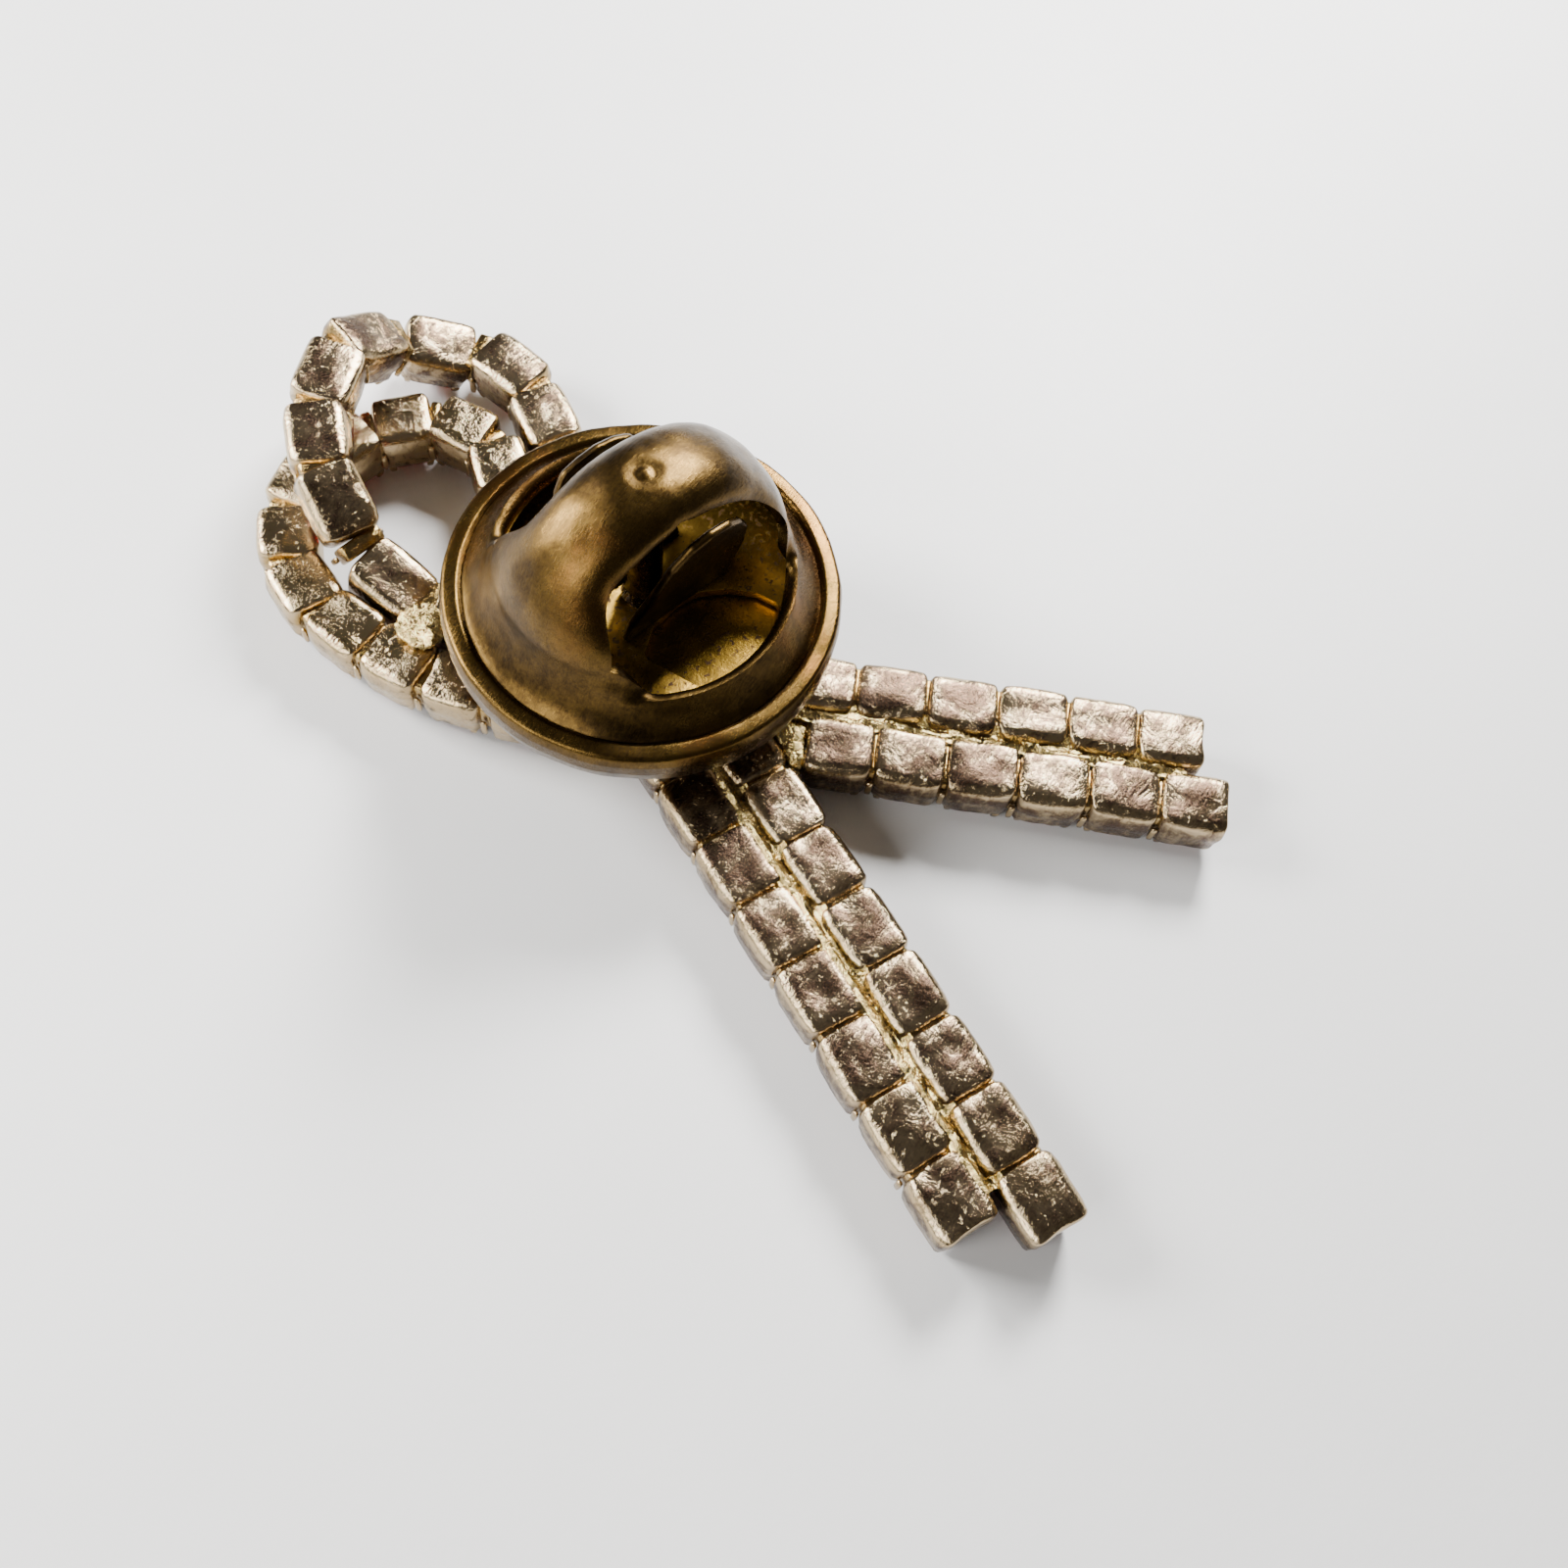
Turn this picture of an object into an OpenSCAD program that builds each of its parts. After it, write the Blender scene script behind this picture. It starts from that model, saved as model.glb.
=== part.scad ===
// Ribbon lapel pin: two strips of square stone cups bent into a ribbon, with a post and a
// butterfly clutch. Lies face down: stones at the bottom, post up. The origin is on the post's
// axis where the post leaves its pad, and the loop points along +Y. Millimetres.

/* [Ribbon] */
// Spacing of the cups along a leg; the whole ribbon is laid out from it
cup_pitch = 2.14; // [1.6:0.02:3]
// Width of a cup as a share of the spacing
cup_share = 0.86; // [0.75:0.01:0.88]
// Thickness of a strip, from the stones' flat fronts to the backs of the cups
strip_t = 2; // [1.4:0.05:3]
// Gap between the two strips of a leg, filled by the solder seam
seam_w = 0.22; // [0.1:0.02:0.5]
// Number of cups in the outer strip of the left leg
left_outer_n = 10; // [8:1:10]
// Number of cups in the inner strip of the left leg
left_inner_n = 11; // [8:1:11]
// Number of cups in each strip of the right leg
right_n = 6; // [3:1:8]
// Half of the angle between the legs, in degrees
leg_spread = 25.5; // [20:0.5:32]

/* [Post] */
// Diameter of the post
post_d = 1.1; // [0.8:0.05:1.4]
// Length of bare post between its pad and the clutch
bare_l = 0.95; // [0.6:0.05:3]
// Depth of the groove that the jaws close round
groove_depth = 0.17; // [0.16:0.01:0.25]
// Diameter of the soldered pad
pad_d = 3.6; // [2.4:0.1:5]
// Thickness of the pad
pad_t = 0.3; // [0.2:0.05:0.6]

/* [Clutch] */
// Diameter over the rolled rim
clutch_d = 11.5; // [9:0.1:14]
// Height of the rolled rim
rim_h = 1.25; // [1:0.05:1.6]
// Width of the rolled rim
rim_w = 0.65; // [0.5:0.05:0.9]
// Width of the arch
arch_w = 3.3; // [2.6:0.1:4]
// Thickness of the arch's sheet
sheet_t = 0.4; // [0.3:0.05:0.6]
// Direction of the arch, in degrees from the X axis
arch_dir = -15; // [-90:1:90]
// Clearance between the post and the hole and jaws of the clutch
post_clear = 0.06; // [0.03:0.01:0.15]
// Outward lean of the near wing, in degrees
near_lean = 12; // [9:1:18]
// Outward lean of the far wing, in degrees
far_lean = 17; // [9:1:18]

/* [Hidden] */
$fn = 64;
k = cup_pitch / 2.14;
cup_w = cup_share * cup_pitch;
cup_l = 0.9 * cup_pitch;
step = cup_w + seam_w;
link_l = cup_pitch - cup_l;
back_z = -pad_t;
front_z = back_z - strip_t;
rim_z = front_z + 0.21 * strip_t;
stone_h = 0.36 * cup_w;
edge_r = 0.15 * cup_w;
hold_z = front_z + 0.6 * strip_t;
lift_full = strip_t + 0.1;
post_r = post_d / 2;
hole_r = post_r + post_clear;

// Leg directions and the distance of each strip's centre line from the post
left_a = 270 - leg_spread;
right_a = 270 + leg_spread;
left_mid = -0.31 * k;
right_mid = -1.78 * k;
left_outer_off = left_mid - step / 2;
left_inner_off = left_mid + step / 2;
right_outer_off = right_mid + step / 2;
right_inner_off = right_mid - step / 2;
left_outer_end = 19.6 * k;
left_inner_end = 20.8 * k;
right_outer_end = 17.2 * k;
right_inner_end = 17.95 * k;

// Loop paths: each run is [length, radius], with radius 0 for a straight run
turn = PI / 180;
up_runs = [
    [2.6 * k, 0],
    [6 * k * 5.5 * turn, -6 * k],
    [6.42 * k, 0],
    [3.1 * k * 128 * turn, 3.1 * k],
    [5.94 * k * (57.5 + 2 * leg_spread) * turn, 5.94 * k]
];
low_runs = [
    [5.28 * k, 0],
    [6 * k * 19.4 * turn, -6 * k],
    [2.4 * k * 85 * turn, 2.4 * k],
    [4.08 * k * 132 * turn, 4.08 * k],
    [12.3 * k * (2 * leg_spread - 17.6) * turn, 12.3 * k]
];
up_pitch = 2.35 * k;
low_pitch = 1.955 * k;
up_first = 3.9 * k;
low_first = 3.64 * k;
up_n = 11;
low_n = 13;

// Where the upper strip climbs over the lower one and comes down again
climb_a = 12.6 * k;
climb_b = 17.2 * k;
drop_a = 21.0 * k;
drop_b = 26.0 * k;

// Clutch sizes that follow the others
cs = clutch_d / 11.5;
base_z = bare_l + 0.05;
floor_t = 0.3;
rim_top = base_z - 0.05 + rim_h;
ledge_z = rim_top - 0.75;
plate_t = 0.3;
cover_z = ledge_z + plate_t;
rim_in = clutch_d / 2 - rim_w;
dome_r = 4.4 * cs;
dome_z = rim_top + 0.6;
window_r = 4.05 * cs;
lip_z = cover_z + 1.3;
crest_z = dome_z + dome_r;
inner_r = dome_r - sheet_t;
post_top = dome_z + inner_r - 0.4;
groove_top = cover_z + 0.4;
leaf_z = cover_z + 0.05;
leaf_t = 0.25;
wing_n = max(post_r + 0.25, 0.8 * cs);
wing_t = 0.3;
hinge_z = leaf_z + 0.8;
hinge_n = wing_n + 0.1;
wing_from = -1.5 * cs;
wing_to = 2.4 * cs;
slot_n = wing_n + wing_t + 0.3;

silver = [0.72, 0.68, 0.62];
solder = [0.8, 0.76, 0.62];
red = [0.55, 0.04, 0.07, 0.85];
brass = [0.52, 0.4, 0.18];
yellow_brass = [0.7, 0.54, 0.2];

// Rounded square, from squares and circles only
module round_rect(w, l, r) {
    square([w - 2 * r, l], center = true);
    square([w, l - 2 * r], center = true);
    for (i = [-1, 1], j = [-1, 1]) {
        translate([i * (w / 2 - r), j * (l / 2 - r)]) circle(r);
    }
}

// Side view of a cup: square at the front, rounded at the back
module cup_side(w, h, r) {
    translate([-w / 2, -h]) square([w, h - r]);
    translate([-w / 2 + r, -h]) square([w - 2 * r, h]);
    for (i = [-1, 1]) {
        translate([i * (w / 2 - r), -r]) circle(r);
    }
}

// One cup, back at z = 0, without its pocket
module cup_block() {
    h = back_z - rim_z;
    intersection() {
        translate([0, 0, -h]) linear_extrude(h) round_rect(cup_l, cup_w, 0.12 * cup_w);
        rotate([90, 0, 0]) linear_extrude(2 * cup_w, center = true) cup_side(cup_l, h, edge_r);
        rotate([90, 0, 90]) linear_extrude(2 * cup_l, center = true) cup_side(cup_w, h, edge_r);
    }
    // Corner claws that hold the stone
    for (i = [-1, 1], j = [-1, 1]) {
        translate([i * (cup_l / 2 - 0.18 * k), j * (cup_w / 2 - 0.14 * k), -h - 0.03 * strip_t])
            cube([0.2 * k, 0.16 * k, 0.14 * strip_t], center = true);
    }
}

// Room for one stone, cut from below
module cup_pocket() {
    translate([-stone_h, -stone_h, -strip_t - 1])
        cube([2 * stone_h, 2 * stone_h, 1 + strip_t - 0.42 * strip_t]);
}

// Side view of a square stone: flat front, sloping crown, girdle, point at the back
module stone_side() {
    g = front_z + 0.25 * strip_t - back_z;
    b = -0.44 * strip_t;
    polygon([
        [-0.6 * stone_h, -strip_t],
        [0.6 * stone_h, -strip_t],
        [stone_h, g - 0.04 * strip_t],
        [stone_h, g],
        [0.2 * stone_h, b],
        [-0.2 * stone_h, b],
        [-stone_h, g],
        [-stone_h, g - 0.04 * strip_t]
    ]);
}

module stone_block() {
    intersection() {
        rotate([90, 0, 0]) linear_extrude(2 * stone_h + 1, center = true) stone_side();
        rotate([90, 0, 90]) linear_extrude(2 * stone_h + 1, center = true) stone_side();
    }
}

// Web between two neighbouring cups, narrower than they are and set in from their backs
module link_block(l) {
    w = 0.78 * cup_w;
    translate([-l / 2, -w / 2, -0.75 * strip_t]) cube([l, w, 0.68 * strip_t]);
}

// A straight strip: n cups, the last one ending at distance far from the post's foot
module on_leg(a, off, s) {
    rotate([0, 0, a]) translate([s, off, back_z]) children();
}

module leg_strip(a, off, far, n) {
    difference() {
        union() {
            for (i = [0 : n - 1]) {
                on_leg(a, off, far - cup_l / 2 - i * cup_pitch) cup_block();
            }
            for (i = [0 : n - 2]) {
                on_leg(a, off, far - cup_l - link_l / 2 - i * cup_pitch) link_block(link_l + 0.3 * k);
            }
        }
        for (i = [0 : n - 1]) {
            on_leg(a, off, far - cup_l / 2 - i * cup_pitch) cup_pocket();
        }
    }
}

module leg_stones(a, off, far, n) {
    for (i = [0 : n - 1]) {
        on_leg(a, off, far - cup_l / 2 - i * cup_pitch) stone_block();
    }
}

// Point and heading after distance s along a list of runs: [x, y, heading]
function ahead(p, s, r) =
    r == 0
    ? [p[0] + s * cos(p[2]), p[1] + s * sin(p[2]), p[2]]
    : let (h = p[2] + s / r / turn)
        [p[0] + r * (sin(h) - sin(p[2])), p[1] - r * (cos(h) - cos(p[2])), h];
function along(p, runs, s, i = 0) =
    i >= len(runs)
    ? ahead(p, s, 0)
    : s <= runs[i][0]
        ? ahead(p, s, runs[i][1])
        : along(ahead(p, runs[i][0], runs[i][1]), runs, s - runs[i][0], i + 1);
function clamp01(v) = max(0, min(1, v));
function ease(v) = (1 - cos(180 * clamp01(v))) / 2;
function lift(s) =
    lift_full * (ease((s - climb_a) / (climb_b - climb_a)) - ease((s - drop_a) / (drop_b - drop_a)));

// The loop's strips start on the left leg's lines, level with the post
function loop_start(off) = [-off * sin(left_a), off * cos(left_a), left_a - 180];

module on_loop(off, runs, s, raised) {
    p = along(loop_start(off), runs, s);
    z = raised ? lift(s) : 0;
    tilt = raised ? atan2(lift(s + 0.3) - lift(s - 0.3), 0.6) : 0;
    translate([p[0], p[1], back_z + z]) rotate([0, 0, p[2]]) rotate([0, -tilt, 0]) children();
}

module loop_strip(off, runs, first, pitch, n, raised) {
    difference() {
        union() {
            for (i = [0 : n - 1]) {
                on_loop(off, runs, first + i * pitch, raised) cup_block();
            }
            for (i = [0 : n - 2]) {
                on_loop(off, runs, first + (i + 0.5) * pitch, raised) link_block(pitch - cup_l + 0.5 * k);
            }
        }
        for (i = [0 : n - 1]) {
            on_loop(off, runs, first + i * pitch, raised) cup_pocket();
        }
    }
}

module loop_stones(off, runs, first, pitch, n, raised) {
    for (i = [0 : n - 1]) {
        on_loop(off, runs, first + i * pitch, raised) stone_block();
    }
}

module left_outer_strip() {
    color(silver) leg_strip(left_a, left_outer_off, left_outer_end, left_outer_n);
}

module left_inner_strip() {
    color(silver) leg_strip(left_a, left_inner_off, left_inner_end, left_inner_n);
}

module right_outer_strip() {
    color(silver) leg_strip(right_a, right_outer_off, right_outer_end, right_n);
}

module right_inner_strip() {
    color(silver) leg_strip(right_a, right_inner_off, right_inner_end, right_n);
}

module loop_upper_strip() {
    color(silver) loop_strip(left_inner_off, up_runs, up_first, up_pitch, up_n, true);
}

module loop_lower_strip() {
    color(silver) loop_strip(left_outer_off, low_runs, low_first, low_pitch, low_n, false);
}

module left_outer_stones() {
    color(red) leg_stones(left_a, left_outer_off, left_outer_end, left_outer_n);
}

module left_inner_stones() {
    color(red) leg_stones(left_a, left_inner_off, left_inner_end, left_inner_n);
}

module right_outer_stones() {
    color(red) leg_stones(right_a, right_outer_off, right_outer_end, right_n);
}

module right_inner_stones() {
    color(red) leg_stones(right_a, right_inner_off, right_inner_end, right_n);
}

module loop_upper_stones() {
    color(red) loop_stones(left_inner_off, up_runs, up_first, up_pitch, up_n, true);
}

module loop_lower_stones() {
    color(red) loop_stones(left_outer_off, low_runs, low_first, low_pitch, low_n, false);
}

// Solder between the two strips of a leg: it fills the gap and stays below the backs
module seam(a, mid, far, l) {
    rotate([0, 0, a])
        translate([far - l, mid - seam_w / 2, rim_z + 0.25 * strip_t])
            cube([l, seam_w, 0.36 * strip_t]);
}

module left_seam() {
    color(solder) seam(left_a, left_mid, left_outer_end - 0.2 * k, left_outer_n * cup_pitch - 0.6 * k);
}

module right_seam() {
    color(solder) seam(right_a, right_mid, right_outer_end - 0.2 * k, right_n * cup_pitch - 1.6 * k);
}

// Distance along the right leg's direction at which a line beside the left leg is crossed
function meet(side, off) = (side - off * cos(2 * leg_spread)) / sin(2 * leg_spread);

// Solder block from a strip's end to the side of the left leg, in the right leg's frame.
// The end stands square to the strip, which is turned by skew from the right leg's direction
module end_block(side, off, from, skew = 0) {
    d = cup_w * 0.4 * tan(skew);
    polygon([
        [from + d, off - cup_w * 0.4],
        [from - d, off + cup_w * 0.4],
        [meet(side, off + cup_w * 0.4), off + cup_w * 0.4],
        [meet(side, off - cup_w * 0.4), off - cup_w * 0.4]
    ]);
}

module solder_level() {
    rotate([0, 0, right_a]) translate([0, 0, rim_z + 0.1]) linear_extrude(0.62 * strip_t) children();
}

module right_leg_solder() {
    side = left_inner_off + cup_w / 2;
    color(solder) {
        solder_level() end_block(side, right_outer_off, right_outer_end - right_n * cup_pitch + link_l);
        solder_level() end_block(side, right_inner_off, right_inner_end - right_n * cup_pitch + link_l);
    }
}

// End face of the last cup of a loop strip, whose centre is at s along its path:
// [distance, offset, turn] in the right leg's frame
function loop_end(off, runs, s) =
    let (p = along(loop_start(off), runs, s), d = p[2] + 360 - right_a)
        [
            p[0] * cos(right_a) + p[1] * sin(right_a) + cup_l / 2 * cos(d),
            -p[0] * sin(right_a) + p[1] * cos(right_a) + cup_l / 2 * sin(d),
            d > 180 ? d - 360 : d
        ];

module loop_end_solder() {
    side = left_outer_off - cup_w / 2;
    a = loop_end(left_inner_off, up_runs, up_first + (up_n - 1) * up_pitch);
    b = loop_end(left_outer_off, low_runs, low_first + (low_n - 1) * low_pitch);
    color(solder) {
        solder_level() end_block(side, a[1], a[0], a[2]);
        solder_level() end_block(side, b[1], b[0], b[2]);
    }
}

module loop_side_solder() {
    p = along(loop_start(left_inner_off), up_runs, 26 * k);
    q = along(loop_start(left_outer_off), low_runs, 23.9 * k);
    color(solder)
        translate([(p[0] + q[0]) / 2, (p[1] + q[1]) / 2, back_z]) cylinder(h = 0.18, r = 0.8 * k);
}

module post_pad() {
    color(solder) translate([0, 0, back_z]) cylinder(h = pad_t, d = pad_d);
}

module post() {
    color(silver) {
        cylinder(h = bare_l, r = post_r);
        translate([0, 0, bare_l]) cylinder(h = groove_top - bare_l, r = post_r - groove_depth);
        translate([0, 0, groove_top]) cylinder(h = post_top - 0.9 - groove_top, r = post_r);
        translate([0, 0, post_top - 0.9]) cylinder(h = 0.9, r1 = post_r, r2 = 0.1);
    }
}

// Dished base with its rolled rim, turned in one piece
module clutch_base() {
    z0 = base_z - 0.05;
    r0 = rim_w / 2;
    ro = clutch_d / 2;
    color(brass) rotate_extrude() {
        translate([hole_r, base_z]) square([rim_in - 0.5 * cs - hole_r, floor_t]);
        translate([rim_in - 0.5 * cs, z0]) square([0.5 * cs, ledge_z - z0]);
        translate([rim_in, z0 + r0]) square([rim_w, rim_h - 2 * r0]);
        translate([rim_in, z0]) square([r0, rim_h]);
        translate([ro - r0, z0 + r0]) circle(r0);
        translate([ro - r0, rim_top - r0]) circle(r0);
    }
}

module window_side(s, r) {
    difference() {
        intersection() {
            circle(r);
            translate([-r, s > 0 ? arch_w / 2 : -arch_w / 2 - r]) square([2 * r, r]);
        }
        // The arch widens to its foot at one end
        mirror([0, s > 0 ? 0 : 1])
            polygon([
                [-2.2 * cs, arch_w / 2 - 0.1],
                [-4.8 * cs, arch_w / 2 - 0.1],
                [-4.8 * cs, arch_w / 2 + 1.3 * cs],
                [-3.2 * cs, arch_w / 2 + 0.7 * cs]
            ]);
    }
}

// Cover with a rim flange, a sloping ring and the arch left between two windows
module clutch_arch() {
    color(brass) rotate([0, 0, arch_dir]) difference() {
        rotate_extrude() {
            difference() {
                translate([0, dome_z]) circle(dome_r);
                translate([0, dome_z]) circle(inner_r);
                translate([-dome_r - 1, dome_z - dome_r - 1]) square([2 * dome_r + 2, dome_r + 1]);
                translate([-dome_r - 1, dome_z - 1]) square([dome_r + 1, dome_r + 3]);
            }
            translate([inner_r, cover_z + 0.3]) square([sheet_t, dome_z - cover_z - 0.3]);
            polygon([
                [inner_r, cover_z],
                [rim_in, cover_z],
                [rim_in, cover_z + 0.35],
                [dome_r - 0.15, lip_z],
                [inner_r, lip_z]
            ]);
        }
        for (s = [-1, 1]) {
            translate([0, 0, cover_z - 1]) linear_extrude(dome_r + 4) window_side(s, window_r);
            translate([0, 0, lip_z]) linear_extrude(dome_r + 3) window_side(s, dome_r + 0.3);
        }
        translate([0, 0, crest_z - 0.12]) cylinder(h = 1, r = 0.25);
    }
}

// Sheet clamped under the cover, with a slot for the wings
module spring_plate() {
    color(yellow_brass) rotate([0, 0, arch_dir]) translate([0, 0, ledge_z])
        linear_extrude(plate_t) difference() {
            circle(rim_in);
            translate([wing_from - 0.3, -slot_n]) square([wing_to - wing_from + 0.6, 2 * slot_n]);
        }
}

// A wing: leaning blade, and a leaf below it whose round notch faces the post
module wing(lean) {
    difference() {
        translate([-1.1 * cs, 0.2, leaf_z]) cube([2.2 * cs, wing_n + wing_t - 0.2, leaf_t]);
        translate([0, 0, leaf_z - 1]) cylinder(h = 3, r = hole_r);
    }
    intersection() {
        translate([0, wing_n, leaf_z]) rotate([-lean, 0, 0])
            translate([wing_from, 0, 0]) cube([wing_to - wing_from, wing_t, dome_r]);
        translate([0.3 * cs, 0, dome_z + 0.2]) rotate([-90, 0, 0])
            cylinder(h = 4 * cs, r = inner_r - 0.75 * cs);
        translate([-4 * cs, 0, leaf_z]) cube([8 * cs, 4 * cs, 2 * dome_r]);
    }
}

module near_wing() {
    color(brass) rotate([0, 0, arch_dir]) mirror([0, 1, 0]) wing(near_lean);
}

module far_wing() {
    color(brass) rotate([0, 0, arch_dir]) wing(far_lean);
}

left_outer_strip();
left_inner_strip();
right_outer_strip();
right_inner_strip();
loop_upper_strip();
loop_lower_strip();
left_outer_stones();
left_inner_stones();
right_outer_stones();
right_inner_stones();
loop_upper_stones();
loop_lower_stones();
left_seam();
right_seam();
right_leg_solder();
loop_end_solder();
loop_side_solder();
post_pad();
post();
clutch_base();
clutch_arch();
spring_plate();
near_wing();
far_wing();
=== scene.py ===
"""Ribbon lapel pin lying face down, with its post and the butterfly clutch on it."""

import math
import random

import bmesh
import bpy
from bpy.props import FloatProperty, FloatVectorProperty, IntProperty, PointerProperty
from bpy.types import Operator, Panel, PropertyGroup
from mathutils import Matrix, Vector, noise


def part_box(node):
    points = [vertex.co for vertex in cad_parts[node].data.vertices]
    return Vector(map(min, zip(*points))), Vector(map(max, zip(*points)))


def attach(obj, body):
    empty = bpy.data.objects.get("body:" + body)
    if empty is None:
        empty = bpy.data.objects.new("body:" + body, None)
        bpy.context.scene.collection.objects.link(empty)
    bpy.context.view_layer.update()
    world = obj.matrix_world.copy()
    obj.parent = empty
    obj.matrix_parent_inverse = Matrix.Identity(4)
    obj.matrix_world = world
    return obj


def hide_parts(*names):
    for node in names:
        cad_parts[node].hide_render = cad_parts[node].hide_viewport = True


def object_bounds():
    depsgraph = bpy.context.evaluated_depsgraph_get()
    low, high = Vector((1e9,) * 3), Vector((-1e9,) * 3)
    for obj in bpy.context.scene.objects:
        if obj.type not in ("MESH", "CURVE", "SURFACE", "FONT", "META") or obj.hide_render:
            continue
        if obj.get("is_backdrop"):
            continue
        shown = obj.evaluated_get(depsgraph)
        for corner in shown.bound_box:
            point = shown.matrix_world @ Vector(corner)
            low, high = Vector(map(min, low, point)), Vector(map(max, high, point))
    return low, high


bl_info = {
    "name": "Ribbon Lapel Pin",
    "version": (1, 0, 0),
    "blender": (4, 5, 0),
    "location": "3D View > Sidebar > Lapel Pin",
    "description": "Builds a stone-cup ribbon pin with its post and butterfly clutch",
    "category": "Add Mesh",
}

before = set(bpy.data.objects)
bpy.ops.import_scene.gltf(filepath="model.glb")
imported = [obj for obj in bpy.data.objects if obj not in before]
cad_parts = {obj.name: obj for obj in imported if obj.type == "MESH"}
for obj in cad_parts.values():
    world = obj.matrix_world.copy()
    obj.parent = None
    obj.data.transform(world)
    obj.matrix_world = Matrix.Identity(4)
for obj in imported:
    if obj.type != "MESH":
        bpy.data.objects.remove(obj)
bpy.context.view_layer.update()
MM = 0.001
TURN = math.radians(1)
DESIGN_PITCH = 2.14  # cup spacing, in mm, at which the ribbon's other lengths are given
DESIGN_CLUTCH = 11.5  # clutch diameter, in mm, at which the clutch's other lengths are given
BODY_SHARE = 0.79  # height of a cup without its claws, as a share of the strip's thickness
HOLE_R = 0.61  # radius of the hole that the post goes through

# Near-black for the cups' lower walls: painted shade there, broken up by speckled grime
GRIME_AND_SHADE = (0.03, 0.02, 0.013)
SMUT = (0.03, 0.02, 0.014)
BRASS_DIRT = (0.03, 0.02, 0.012)

VIEW_FROM = (-19.80, -13.66, 39.05)
VIEW_TOWARDS = (0.40839, 0.16821, -0.89717)
VIEW_UP = (0.73535, 0.52170, 0.43255)
LENS = 35.08
FLOOR_GAP = 0.01
LAMPS = (
    ("key", (84, 10, 70), 34, 0.4),
    ("fill", (-30, 100, 62), 50, 0.4),
    ("back", (-90, 30, 60), 50, 0.1),
)
ROOM_LIGHT = ((1.0, 0.95, 0.9, 1), 0.12)


# ---------------------------------------------------------------- sizes and colours


def length(name, text, mm, **more):
    return FloatProperty(name=name, description=text, default=mm * MM, unit="LENGTH", precision=5, **more)


def colour(name, text, value):
    return FloatVectorProperty(
        name=name, description=text, subtype="COLOR", size=3, min=0, max=1, default=value
    )


class PIN_PG_ribbon(PropertyGroup):
    """Sizes of the ribbon."""

    pitch: length("Cup spacing", "Spacing of the cups along a leg", 2.14)
    cup_width: length("Cup width", "Width of a cup across its strip", 1.84)
    thickness: length("Strip thickness", "From the stones' fronts to the backs of the cups", 2.0)
    seam: length("Seam", "Gap between the two strips of a leg", 0.22)
    spread: FloatProperty(
        name="Leg spread", description="Half of the angle between the legs", subtype="ANGLE",
        default=25.5 * TURN,
    )
    dents: length("Dents", "Depth of the dents in the cups' backs", 0.075)
    grid: IntProperty(
        name="Cup grid", description="Cuts across each face of a cup", default=11, min=5, max=15
    )


class PIN_PG_clutch(PropertyGroup):
    """Sizes of the post and the clutch."""

    diameter: length("Clutch diameter", "Over the rolled rim", 11.5)
    arch_width: length("Arch width", "Width of the arch over the post", 3.3)
    sheet: length("Sheet", "Thickness of the cover's sheet", 0.32)
    direction: FloatProperty(
        name="Arch direction", description="Turn of the arch from the X axis", subtype="ANGLE",
        default=-15 * TURN,
    )
    post: length("Post diameter", "Diameter of the post", 1.1)


class PIN_PG_finish(PropertyGroup):
    """Colours of the metals and the stones."""

    plate: colour("Silver plate", "Clean silver plate", (0.45, 0.345, 0.205))
    patina: colour("Patina", "Brown tarnish on the plate", (0.062, 0.038, 0.024))
    gilt: colour("Gilt", "Yellowed plate in the grooves", (0.42, 0.27, 0.07))
    solder: colour("Solder", "Bright solder in the seams", (0.66, 0.5, 0.2))
    brass: colour("Brass", "Rubbed parts of the aged brass", (0.115, 0.067, 0.016))
    tarnish: colour("Tarnish", "Dark parts of the aged brass", (0.02, 0.0115, 0.005))
    spring: colour("Spring brass", "Yellow brass inside the clutch", (0.52, 0.31, 0.05))
    stone: colour("Stone", "Red glass", (0.62, 0.012, 0.03))


# ---------------------------------------------------------------- shader maths


class Wire:
    """One output of a shader node, with Python's arithmetic on it."""

    def __init__(self, finish, socket):
        self.finish = finish
        self.socket = socket

    def math(self, operation, a, b):
        return self.finish.node("ShaderNodeMath", {"operation": operation}, {0: a, 1: b})

    def __add__(self, other):
        return self.math("ADD", self, other)

    __radd__ = __add__

    def __sub__(self, other):
        return self.math("SUBTRACT", self, other)

    def __rsub__(self, other):
        return self.math("SUBTRACT", other, self)

    def __mul__(self, other):
        return self.math("MULTIPLY", self, other)

    __rmul__ = __mul__

    def ramp(self, low, high, start=0.0, end=1.0):
        """A soft step from start to end as the value goes from low to high."""
        return self.finish.node(
            "ShaderNodeMapRange",
            {"interpolation_type": "SMOOTHSTEP"},
            {"Value": self, "From Min": low, "From Max": high, "To Min": start, "To Max": end},
        )


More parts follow.
